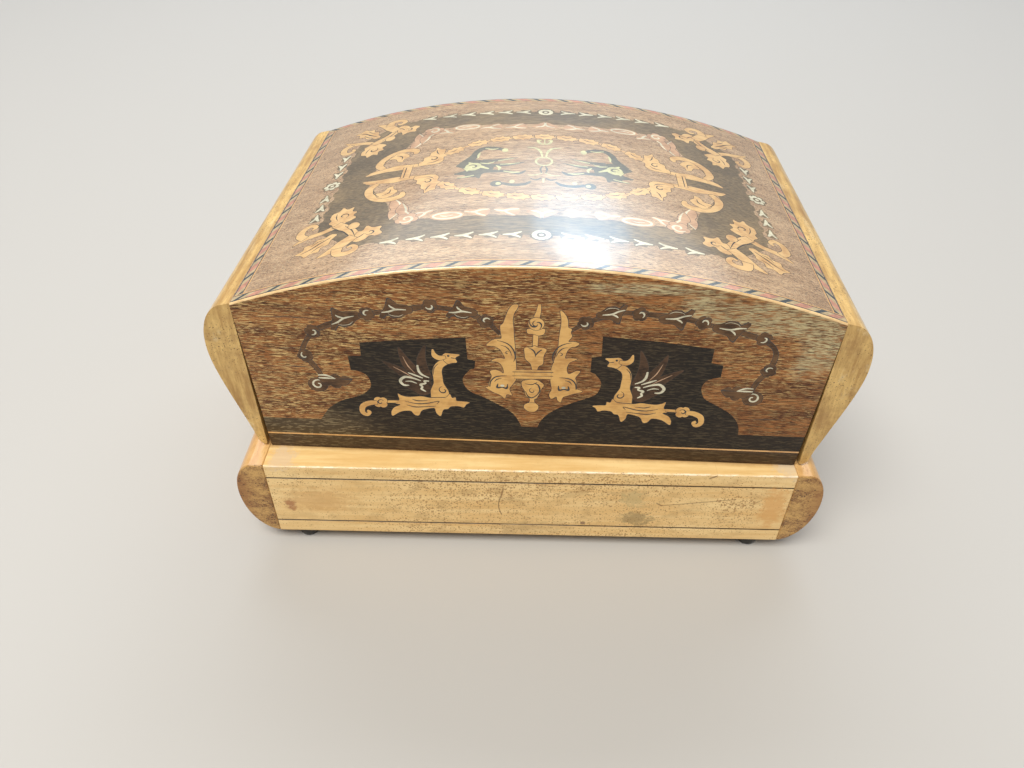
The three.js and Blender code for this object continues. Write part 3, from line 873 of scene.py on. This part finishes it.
def plumed_bird(inlay):
    """Dark plumed bird with pale quills, one to each side of the middle."""
    inlay.line("slate", [(24.8, 1.6), (22, 6.6), (21.2, 10.4), (19, 12.8), (15.8, 12.6),
        (12.6, 11)], [3.4, 2.8, 2, 2.2, 2.2, 1.6])
    inlay.lay("slate", sawn([(27.6, 0.6), (24, 4), (20.4, 4.6), (17, 2.2), (15, -1.4),
        (15.8, -4.8), (18.6, -5.8), (19, -9.4), (20.6, -7.8), (26.8, -8.6), (22.6, -6.6),
        (28, -5.2), (23.6, -3.2), (25, -1.2)], 1))
    plumes = (([(19, 3.2), (14, 3.4), (8, 5.2)], [2.2, 1.7, 0.2]),
        ([(17, -0.2), (11.4, 0), (5.8, 1.8)], [2.6, 2, 0.2]),
        ([(17.4, -4.2), (11.8, -4.6), (7.4, -6), (5.4, -4)], [2.4, 1.8, 1.7, 0.3]),
        ([(3.6, -11.4), (5.6, -13.4), (9.2, -13.8), (12.2, -12.6)], [0.6, 1.6, 1.7, 1.4]))
    for quill, widths in plumes:
        inlay.line("slate", quill, widths)
    inlay.lay("slate", disc((13.8, -12.9), 1.8, 1.1))
    quills = (([(23.2, 2.6), (21.4, 0.8), (19.2, -0.8), (16.6, -2.6)], [0.6, 1.7, 1.5, 0.5]),
        ([(20.6, 5.4), (20.6, 7.6), (20.2, 9.6)], [0.3, 0.8, 0.3]),
        ([(19.6, 1.8), (17, 1.2), (15.2, 2.4)], [0.3, 0.8, 0.3]),
        ([(18.8, 12.8), (16.4, 11.8), (14.6, 12.2)], [0.4, 0.8, 0.4]),
        ([(14.6, -0.4), (13.4, -2), (13.6, -3.8)], [0.4, 1, 0.4]),
        ([(12.2, -4.4), (9.4, -5.4), (7.2, -5.2)], [0.4, 0.9, 0.5]),
        ([(24.4, -1.4), (23, -3.6)], [0.3, 0.7]),
        ([(25.8, -7.9), (23, -7.4), (20.8, -6.6)], [0.2, 0.7, 0.4]),
        ([(14.2, 3), (11.6, 3.8), (9.2, 4.8)], [0.4, 0.6, 0.2]),
        ([(13.4, 0.4), (10.4, 0.6), (7.4, 1.4)], [0.4, 0.7, 0.2]))
    for quill, widths in quills:
        inlay.line("lime", quill, widths, 3)
    inlay.lay("lime", disc((21.6, -0.6), 2.5, 1.1, 0.4))
    inlay.line("slate", coil((21.6, -0.6), 1.6, 0.4, 0.8), [0.3, 0.7, 0.3], 2)
    inlay.lay("lime", disc((12.4, 10.8), 1, 1.5))
    inlay.lay("lime", disc((13.2, -12.9), 0.8, 1.2))
    inlay.lay("lime", disc((9.2, -11.6), 0.8, 1.3))


def lyre(inlay):
    """Thin pale ornament in the middle of the top: a ring, two arms and a small crown."""
    ring = disc((0, 2.6), 2.5, 1.2)
    inlay.line("lime", ring + ring[:1], [0.7, 0.7], 1)
    for side in (1, -1):
        flip = lambda points: [(x * side, y) for x, y in points]
        inlay.line("lime", flip([(0.6, 6), (1.2, 10), (2.8, 12.4), (5.4, 13)]),
            [0.5, 0.9, 0.8, 0.3])
        inlay.line("lime", flip([(0.2, 15.4), (1.6, 16.4), (2.2, 18.8), (1, 18.2)]),
            [0.6, 1, 0.8, 0.3])
        inlay.line("lime", flip([(0.2, -5.6), (2.8, -7.2), (5, -7)]), [0.3, 0.6, 0.2])
        inlay.line("slate", flip([(0.4, -0.8), (1, -3), (0.6, -5.6)]), [0.3, 0.7, 0.3])
        inlay.line("slate", flip([(0.6, -9), (2.2, -10.4), (4, -9.4)]), [0.5, 0.8, 0.3])
    inlay.line("lime", [(0, 15.4), (0, 19.8)], [0.5, 0.3], 1)
    inlay.line("lime", [(0, -9.4), (0, -12)], [0.7, 0.4], 1)


def frame_and_ground(inlay, centre):
    """Dark frame round a brown cartouche."""
    outer = [(0, 42.4), (44, 42.4), (52, 42.4), (63.6, 31), (63.6, 0)]
    full = outer + [(x, -y) for x, y in outer[::-1]]
    full += [(-x, -y) for x, y in outer] + [(-x, y) for x, y in outer[::-1]]
    inlay.at(set_out(1, 1, centre))
    inlay.lay("frame", full)
    for side in (1, -1):
        for x in np.arange(-49.5, 50, 6.6):  # the outer edge is scalloped between the flowers
            inlay.lay("frame", disc((x, 42.3 * side), 2.3, 0.42, sides=8))
        for y in np.arange(-26, 27, 6.5):
            inlay.lay("frame", disc((63.5 * side, y), 1.1, 2, sides=8))
    inner = [(0, 32.2), (20, 32.2), (38.6, 31.8), (42, 29.6), (43.4, 26), (45.4, 19.4),
        (48.6, 17.2), (51.8, 13.6), (53.4, 8), (53, 4.6), (44, 3.4), (44, 0)]
    ring = smooth(inner[1:10], steps=3)
    ring = [Vector(inner[0])] + ring + [Vector(p) for p in inner[10:]]
    whole = ring + [Vector((p.x, -p.y)) for p in ring[::-1]]
    whole += [Vector((-p.x, -p.y)) for p in ring] + [Vector((-p.x, p.y)) for p in ring[::-1]]
    inlay.lay("top", whole)


def top_picture():
    inlay = Picture()
    centre = (1, 1.2)
    inset = 0.38
    edge_y, edge_x = DEPTH - inset, HALF - 0.25
    quarters = [set_out(x, y, centre) for x in (1, -1) for y in (1, -1)]
    halves = [set_out(1, 1, centre), set_out(-1, 1, centre)]
    frame_and_ground(inlay, centre)
    inlay.at(*quarters)
    pale_flowers(inlay, [(7.4, 43, 180), (13.7, 43, 180), (20.2, 43, 180), (26.6, 43, 180),
        (33.2, 43, 180), (40.4, 43.2, 180)])
    pale_flowers(inlay, [(66.6, 8.4, 90), (66.6, 14.6, 90), (66.6, 21, 90)], size=0.9)
    for x, y, turn, size in ((10, 30, 168, 1), (18.2, 30.2, 172, 1), (33, 28.6, 30, 0.8)):
        spin = Matrix.Rotation(math.radians(turn), 2) * size
        put = lambda points: [Vector((x, y)) + spin @ Vector(p) for p in points]
        inlay.lay("rosy", sawn(put([(-4, 0.4), (-2.4, 1.6), (-0.6, 1.2), (1, 2.8), (3.6, 2.4),
            (3.8, -0.4), (3, -2.4), (0.8, -2.2), (-1.8, -1)])))
        inlay.line("pale", put([(3.2, 2), (0.8, 1.2), (-0.8, 0.1), (-3.4, 0.2)]),
            [0.3, 0.8, 0.9, 0.3])
        inlay.line("pale", put([(3, -1.8), (1, -1), (-0.4, 0)]), [0.3, 0.7, 0.4])
    inlay.lay("rosy", sawn([(0, 27.4), (1.6, 28.4), (4.8, 30), (3, 31.6), (1.2, 33.4), (0, 34)], 1))
    inlay.line("pale", [(0, 33.4), (0.2, 31.4), (1.2, 30.2), (3.2, 29.6)], [0.7, 0.7, 0.8, 0.3])
    inlay.lay("rosy", disc((26.2, 31.4), 4.9, 0.52))
    oval = disc((26.2, 31.4), 4, 0.42)
    inlay.line("pale", oval + oval[:1], [0.7, 0.7], 1)
    inlay.line("pale", [(24.6, 31.2), (26.4, 31.8), (28.2, 31.2)], [0.2, 0.6, 0.2], 3)
    ring_flower(inlay, 0, 43)
    for base, tip, wide, bend in (((43.4, 17.8), (42.6, 30.4), 4.6, 0.1),
            ((40.4, 21.4), (36, 31.8), 4.2, -0.1)):
        inlay.lay("rosy", leaf(base, tip, wide, 2, bend), THIN_SAW)
        inner = leaf(base, tip, wide * 0.6, 2, bend)
        inlay.line("pale", inner[:len(inner) // 2], [0.2, 0.7, 0.5, 0.2], 1)
    inlay.lay("rosy", rosette((37.6, 31.2), 3.4, 5, 0.4), THIN_SAW)
    inlay.line("pale", coil((37.6, 31.2), 2.2, 0.6, 1.1), [0.3, 0.8, 0.6, 0.3], 2)
    inlay.at(*halves)
    ring_flower(inlay, 66.6, 0.6, 2.7)
    clasp(inlay)
    plumed_bird(inlay)
    inlay.at(*quarters)
    corner_scroll(inlay)
    inlay.at(set_out(1, 1, centre))
    wreath(inlay)
    lyre(inlay)
    inlay.at(set_out())
    rope_band(inlay, (-edge_x, -edge_y), (-edge_x, edge_y), -1)
    rope_band(inlay, (edge_x, -edge_y), (edge_x, edge_y), 1)
    rope_band(inlay, (-edge_x, -edge_y), (edge_x, -edge_y), 1)
    rope_band(inlay, (-edge_x, edge_y), (edge_x, edge_y), -1)
    for side in (1, -1):
        low, high = sorted((side * (DEPTH - inset), side * DEPTH))
        inlay.lay("edge", bar(HALF, low, high))
    return inlay


def back_picture():
    """Plainer back: brown veneer over the same bands along the foot."""
    inlay = Picture()
    foot_bands(inlay, HALF - 0.02)
    return inlay


# Cutting a picture into a panel

def within(points, outline):
    """Which points lie inside the outline, by its winding round them."""
    x, y = points[:, 0], points[:, 1]
    turns = np.zeros(len(points), int)
    for (ax, ay), (bx, by) in zip(outline, np.roll(outline, -1, 0)):
        side = (bx - ax) * (y - ay) - (x - ax) * (by - ay)
        turns += (ay <= y) & (by > y) & (side > 0)
        turns -= (ay > y) & (by <= y) & (side < 0)
    return turns != 0


def cut_picture(outline, picture, guides=()):
    """Triangles of the panel with every shape's edge cut in, and each triangle's wood."""
    points = [Vector(p) for p in outline]
    edges = [(i, (i + 1) % len(points)) for i in range(len(points))]
    for _, shape in picture.shapes:
        first = len(points)
        points += shape
        edges += [(first + i, first + (i + 1) % len(shape)) for i in range(len(shape))]
    for begin, end in guides:
        edges.append((len(points), len(points) + 1))
        points += [Vector(begin), Vector(end)]
    verts, _, tris, *_ = delaunay_2d_cdt(points, edges, [], 0, 1e-4)
    flat = np.array([tuple(v) for v in verts])
    tris = np.array([t for t in tris])
    middles = flat[tris].mean(1)
    woods = np.zeros(len(tris), int)
    for wood, shape in picture.shapes:
        ring = np.array([tuple(p) for p in shape])
        low, high = ring.min(0), ring.max(0)
        near = np.nonzero(((middles >= low) & (middles <= high)).all(1))[0]
        woods[near[within(middles[near], ring)]] = WOOD_ORDER.index(wood)
    return flat, tris, woods


def panel(flat, tris, woods, lift, outward, sink, ground, rim):
    """Closed board with the picture on its face. lift places a flat point in the cover's
    frame, and sink gives the point behind it, on the board's far side. ground is the wood
    of the face where no shape lies, and rim that of the edges."""
    bm = bmesh.new()
    front = [bm.verts.new(lift(x, y) * MM) for x, y in flat]
    for tri, wood in zip(tris, woods):
        face = bm.faces.new([front[i] for i in tri])
        face.material_index = WOOD_ORDER.index(ground) if wood == 0 else int(wood)
    bm.normal_update()
    if sum(face.normal.dot(outward) for face in bm.faces) < 0:
        bmesh.ops.reverse_faces(bm, faces=bm.faces)
    pictured = set(bm.faces)
    behind = bmesh.ops.extrude_face_region(bm, geom=bm.faces[:], use_keep_orig=True)["geom"]
    far = {face for face in behind if isinstance(face, bmesh.types.BMFace)}
    for vert in (v for v in behind if isinstance(v, bmesh.types.BMVert)):
        vert.co = sink(vert.co / MM) * MM
    for face in bm.faces:
        if face not in pictured:
            face.material_index = WOOD_ORDER.index("back" if face in far else rim)
    inner = [e for e in bm.edges if all(face in far for face in e.link_faces)]
    verts = [v for v in bm.verts if all(face in far for face in v.link_faces)]
    bmesh.ops.dissolve_limit(bm, angle_limit=math.radians(0.3), verts=verts, edges=inner)
    bmesh.ops.recalc_face_normals(bm, faces=bm.faces)
    return bm


def finish_piece(name, bm, nodes, materials, turned=True):
    """Puts a finished mesh in the scene, in the CAD's place, standing for its nodes."""
    mesh = bpy.data.meshes.new(name)
    bm.to_mesh(mesh)
    bm.free()
    if turned:
        mesh.transform(Matrix.Translation((0, 0, COVER_BOTTOM * MM))
                       @ Matrix.Rotation(COVER_TURN, 4, "Z"))
    for material in materials:
        mesh.materials.append(material)
    piece = bpy.data.objects.new(name, mesh)
    bpy.context.scene.collection.objects.link(piece)
    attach(piece, "root")
    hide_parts(*nodes)
    return piece


def board_outline():
    """Outline of the front and back boards: an arched top, and sides that draw in."""
    top = [(x, arch(x, SHEET + 0.02)) for x in np.linspace(HALF, -HALF, 65)]
    return [(TAPER - HALF, 0.0), (HALF - TAPER, 0.0)] + top


def trim_to(picture):
    """Draws in what reaches past a board's tapered sides."""
    for _, shape in picture.shapes:
        for p in shape:
            reach = HALF - TAPER * max(0.0, 1 - p.y / arch(HALF, SHEET))
            p.x = max(-reach, min(reach, p.x))


def cover_boards():
    outline = board_outline()
    for name, node, side, picture, ground in (
            ("cover_front_inlaid", "cover_front_board", -1, front_picture(), "ground"),
            ("cover_back_veneered", "cover_back_board", 1, back_picture(), "back")):
        trim_to(picture)
        lift = lambda x, z, s=side: Vector((-s * x, s * DEPTH, z))
        sink = lambda p, s=side: Vector((p.x, s * (DEPTH - BOARD), p.z))
        bm = panel(*cut_picture(outline, picture), lift, Vector((0, side, 0)), sink, ground, ground)
        finish_piece(name, bm, [node], WOODS.values())


def cover_top():
    outline = bar(HALF, -DEPTH, DEPTH)
    guides = [((x, -DEPTH), (x, DEPTH)) for x in np.linspace(-HALF, HALF, 81)[1:-1]]
    ease = 0.6  # radius of the rounded front and back edges
    for y in (DEPTH - ease * 0.08, DEPTH - ease * 0.3, DEPTH - ease * 0.62, DEPTH - ease):
        guides += [((-HALF, side * y), (HALF, side * y)) for side in (-1, 1)]

    def lift(x, y):
        past = max(0.0, abs(y) - (DEPTH - ease))
        return Vector((x, y, arch(x) - ease + math.sqrt(max(0.0, ease ** 2 - past ** 2))))

    sink = lambda p: Vector((p.x, p.y, arch(p.x) - SHEET))
    cut = cut_picture(outline, top_picture(), guides)
    bm = panel(*cut, lift, Vector((0, 0, 1)), sink, "top", "ground")
    piece = finish_piece("cover_top_inlaid", bm, ["cover_top"], WOODS.values())
    smooth_by_angle(piece, 30)


# Plain wooden pieces, made from softened copies of the CAD solids

def smooth_by_angle(piece, degrees):
    mesh = piece.data
    mesh.polygons.foreach_set("use_smooth", [True] * len(mesh.polygons))
    mesh.set_sharp_from_angle(angle=math.radians(degrees))


def softened(node, name, material, ease=0.4, longer=0.0):
    """The CAD solid with its sharp edges eased, as hand sanding leaves them, and made
    longer at both sides to meet its neighbours."""
    bm = bmesh.new()
    bm.from_mesh(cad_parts[node].data)
    bmesh.ops.remove_doubles(bm, verts=bm.verts, dist=1e-6)
    bmesh.ops.dissolve_limit(bm, angle_limit=math.radians(0.4), verts=bm.verts, edges=bm.edges)
    middle = sum(v.co.x for v in bm.verts) / len(bm.verts)
    for vert in bm.verts:
        vert.co.x += math.copysign(longer * MM, vert.co.x - middle)
    sharp = [e for e in bm.edges if e.is_manifold and e.calc_face_angle() > math.radians(35)]
    bmesh.ops.bevel(bm, geom=sharp, offset=ease * MM, segments=3, profile=0.5, affect="EDGES",
                    material=-1, clamp_overlap=True)
    for face in bm.faces:
        face.material_index = 0
    piece = finish_piece(name, bm, [node], [material], turned=False)
    smooth_by_angle(piece, 40)
    piece.modifiers.new("even_shading", "WEIGHTED_NORMAL").keep_sharp = True


def scratch(f, x, z, begin, end, wide):
    """1 along a thin straight scratch, given its two ends in X and Z, at any depth in Y."""
    (ax, az), (bx, bz) = begin, end
    slope = (bz - az) / (bx - ax)
    off = f.sum(f.sum(z, f.times(f.sum(x, -ax), -slope)), -az)
    line = f.band(f.absolute(off), wide * 0.5, wide, 1.0, 0.0)
    line = f.times(line, f.band(x, ax, ax + 0.6))
    return f.times(line, f.band(x, bx - 0.6, bx, 1.0, 0.0))


def base_wear_and_painted_light(f, colour, cloud):
    """Dark glue lines, painted shadow beside the cover, and on the front a bright edge, partly
    chips and partly a painted highlight, and stains.
    The scratches and the crack show on the front and on the back."""
    place = f.place(0.0)
    low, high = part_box("base_top_board")
    joints = [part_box("base_bottom_board")[1].z / MM + 0.15, low.z / MM - 0.15]
    front = low.y / MM
    x = f.axis("X", place)
    y = f.axis("Y", place)
    z = f.axis("Z", place)
    uneven = f.noise(f.place(0.0, (0.4, 0.4, 0.4), (6, 6, 2)), 3.0, 0.6)
    for joint in joints:
        gap = f.sum(f.absolute(f.sum(z, -joint)), f.times(uneven, 0.12))
        colour = f.mix(f.band(gap, 0.26, 0.42, 0.92, 0.0), colour, srgb(48, 30, 16))
    # Painted shadow: the ledge darkens within about 2 mm of the cover's foot.
    beside = f.axis("Y", f.place())
    beside = f.sum(f.absolute(beside), f.times(uneven, 1.2))
    painted_contact_shadow = f.band(beside, DEPTH + 0.3, DEPTH + 2.2, 0.6, 0.0)
    colour = f.mix(painted_contact_shadow, colour, srgb(150, 108, 62))
    # The bright top front arris: white chips, and partly a painted highlight along it.
    edge = f.times(f.band(z, high.z / MM - 0.5, high.z / MM - 0.2),
                   f.band(y, front + 0.3, front + 0.7, 1.0, 0.0))
    chips_and_painted_highlight = f.noise(f.place(0.0, (0.34, 0.9, 0.9), (3, 1, 7)), 4.0, 0.7)
    chips_and_painted_highlight = f.band(chips_and_painted_highlight, 0.42, 0.62, 0.15, 0.9)
    colour = f.mix(f.times(edge, chips_and_painted_highlight), colour, srgb(252, 238, 210))
    ragged = f.sum(f.noise(f.place(0.0, (0.5, 0.5, 0.7), (1, 8, 3)), 4.0, 0.7), -0.5)
    ragged = f.times(ragged, 3.0)
    for centre, reach, tint, share in (((-75.4, front, 17), (1.5, 6, 2.2), (150, 84, 48), 0.75),
                                       ((-66, front, 19), (9, 6, 5), (198, 146, 82), 0.4),
                                       ((32, front, 13.6), (4.5, 6, 3.0), (132, 112, 70), 0.6),
                                       ((30, front, 23), (3.6, 6, 3.6), (190, 168, 116), 0.6),
                                       ((-2, front, 8), (12, 6, 3), (186, 156, 106), 0.4),
                                       ((73, front, 20), (4, 6, 8), (216, 156, 82), 0.6),
                                       ((15.7, front, 11), (0.7, 6, 0.6), (120, 84, 60), 0.8),
                                       ((-76, front + 3, 33.8), (4, 5, 2), (216, 192, 164), 0.6),
                                       ((76, front + 4, 33.8), (5, 4, 2), (214, 196, 172), 0.6)):
        patch = f.spot(place, centre, reach, ragged)
        colour = f.mix(f.times(patch, share), colour, srgb(*tint))
    for begin, end, wide, share in (((38.7, 19.8), (61.4, 23.4), 0.22, 0.6),
                                    ((37.0, 21.2), (39.4, 19.6), 0.4, 0.6),
                                    ((51.2, 32.2), (54.0, 33.6), 0.4, 0.75)):
        line = f.times(scratch(f, x, z, begin, end, wide), share)
        colour = f.mix(line, colour, srgb(112, 74, 40))
    bend = f.times(f.maths(f.times(z, 0.42), 0.0, "SINE"), 0.7)
    away = f.absolute(f.sum(f.sum(x, bend), 10.2))
    crack = f.times(f.band(away, 0.1, 0.26, 1.0, 0.0), f.band(z, 13.5, 14.5))
    crack = f.times(crack, f.band(z, 26.0, 27.0, 1.0, 0.0))
    return f.mix(f.times(crack, 0.7), colour, srgb(120, 80, 40))


def grimy(f, colour, cloud):
    """Brown-grey grime in soft patches, as on the two ends of the cover."""
    grime = f.noise(f.place(stretch=(0.14, 0.04, 0.14), shift=(4, 6, 1)), 5.0, 0.7)
    colour = f.mix(f.band(grime, 0.5, 0.7, 0.0, 0.5), colour, srgb(150, 112, 66))
    pale = f.noise(f.place(stretch=(0.3, 0.04, 0.16), shift=(1, 2, 8)), 4.0, 0.7)
    return f.mix(f.band(pale, 0.56, 0.7, 0.0, 0.4), colour, srgb(226, 204, 158))


def end_faces(f, colour, cloud):
    """Darker end grain on the front and back faces, with browned outer rims."""
    place = f.place(0.0)
    face_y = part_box("base_left_end")[1].y / MM
    y = f.axis("Y", place)
    x = f.axis("X", place)
    face = f.band(f.absolute(y), face_y - 0.7, face_y - 0.3)
    pores = f.noise(f.place(0.0, (1.6, 0.3, 2.4), (2, 2, 5)), 3.0, 0.7)
    rings = f.noise(f.place(0.0, (0.16, 0.1, 0.3), (6, 2, 3)), 4.0, 0.6)
    tone = f.sum(f.times(pores, 0.4), f.times(rings, 0.6))
    grey = f.mix(f.band(tone, 0.38, 0.62), srgb(130, 86, 42), srgb(200, 158, 92))
    out = f.sum(f.absolute(f.sum(x, 1.7)), f.times(cloud, 8.0))
    grey = f.mix(f.band(out, 87, 94, 0.0, 0.7), grey, srgb(146, 94, 46))
    dots = f.flecks(f.place(0.0, (1.6, 1.6, 1.7), (8, 1, 3)), f.band(rings, 0.4, 0.6, 1.4, 0.7))
    grey = f.mix(f.times(dots, 0.85), grey, srgb(78, 48, 24))
    return f.mix(face, colour, grey)


def plain_pieces():
    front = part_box("base_front_rail")[0].y / MM
    middle = ((-2, front, 18), (50, 12, 40))
    right = ((62, front, 20), (8, 12, 12))
    base = maple("base_maple", srgb(244, 212, 152), srgb(226, 184, 118), srgb(150, 102, 46), 0.7,
                 thick=(middle, right), front=front, wear_and_painted_light=base_wear_and_painted_light)
    base_end = maple("base_end_maple", srgb(226, 186, 126), srgb(200, 150, 88), srgb(130, 88, 48),
                     0.5, (0.4, 0.05, 0.3), wear_and_painted_light=end_faces)
    end = maple("cover_end_maple", srgb(224, 188, 118), srgb(166, 126, 68), srgb(78, 50, 28),
                0.75, (0.45, 0.05, 0.06), COVER_TURN, wear_and_painted_light=grimy)
    black = foot_black("foot_black")
    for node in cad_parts:
        if node.startswith("foot"):
            softened(node, f"{node}_black", black, 0.3)
        elif node.startswith("base") and node.endswith("end"):
            softened(node, f"{node}_rounded", base_end)
        elif node.startswith("base"):
            softened(node, f"{node}_maple", base, 0.25, 0.27)
        elif node.startswith("cover") and node.endswith("end"):
            softened(node, f"{node}_maple", end)


# Surroundings: camera, floor and light

def camera():
    lens = bpy.data.cameras.new("camera")
    lens.sensor_width = 36
    lens.lens = FOCAL_LENGTH * lens.sensor_width / FIELD_WIDTH
    lens.clip_start, lens.clip_end = 0.01, 20
    eye = bpy.data.objects.new("camera", lens)
    aim = Vector(CAMERA_AHEAD).to_track_quat("-Z", "Y").to_matrix().to_4x4()
    eye.matrix_world = (Matrix.Translation(Vector(CAMERA_PLACE) * MM) @ aim
                        @ Matrix.Rotation(CAMERA_ROLL, 4, "Z"))
    bpy.context.scene.collection.objects.link(eye)
    bpy.context.scene.camera = eye


def floor():
    bm = bmesh.new()
    bmesh.ops.create_grid(bm, x_segments=1, y_segments=1, size=3)
    mesh = bpy.data.meshes.new("floor")
    bm.to_mesh(mesh)
    bm.free()
    f = Finish("pale_floor")
    f.done(srgb(182, 180, 177), 0.7, f.bump(f.noise(f.place(0.0)), 0.02, 0.1))
    mesh.materials.append(f.material)
    ground = bpy.data.objects.new("floor", mesh)
    bpy.context.scene.collection.objects.link(ground)


def lamp(name, place, target, size, power, tint=(1, 1, 1)):
    light = bpy.data.lights.new(name, "AREA")
    light.shape = "ELLIPSE"
    light.size, light.size_y = size
    light.energy = power
    light.color = tint
    holder = bpy.data.objects.new(name, light)
    holder.location = place
    holder.rotation_euler = (Vector(target) - Vector(place)).to_track_quat("-Z", "Y").to_euler()
    holder.visible_camera = False
    bpy.context.scene.collection.objects.link(holder)


def lights():
    world = bpy.data.worlds.new("soft_room")
    world.use_nodes = True
    world.node_tree.nodes["Background"].inputs["Color"].default_value = (0.94, 0.97, 1.0, 1)
    world.node_tree.nodes["Background"].inputs["Strength"].default_value = 0.33
    bpy.context.scene.world = world
    bpy.context.scene.view_settings.view_transform = "Standard"
    lamp("overhead", (-0.28, -0.62, 1.4), (0, 0, 0.05), (1.2, 0.8), 26, (1.0, 0.95, 0.86))
    lamp("window", (0.0, 1.15, 1.25), (0, 0, 0.08), (2.6, 0.6), 18, (0.98, 0.99, 1.0))
    lamp("glow", (0.0, 1.15, 0.72), (0, 0, 0.09), (1.7, 0.24), 1.5, (0.9, 0.97, 1.0))
    lamp("near_glow", (0.14, 1.14, 0.73), (0, 0, 0.09), (0.62, 0.2), 0.3, (0.42, 0.74, 1.0))
    lamp("blue_glow", (0.17, 1.12, 0.72), (0, 0, 0.09), (0.34, 0.15), 0.28, (0.25, 0.62, 1.0))
    lamp("hot_lamp", (0.18, 1.08, 0.75), (0.01, -0.045, 0.1), (0.2, 0.02), 0.12)


camera()
floor()
lights()
cover_boards()
cover_top()
plain_pieces()
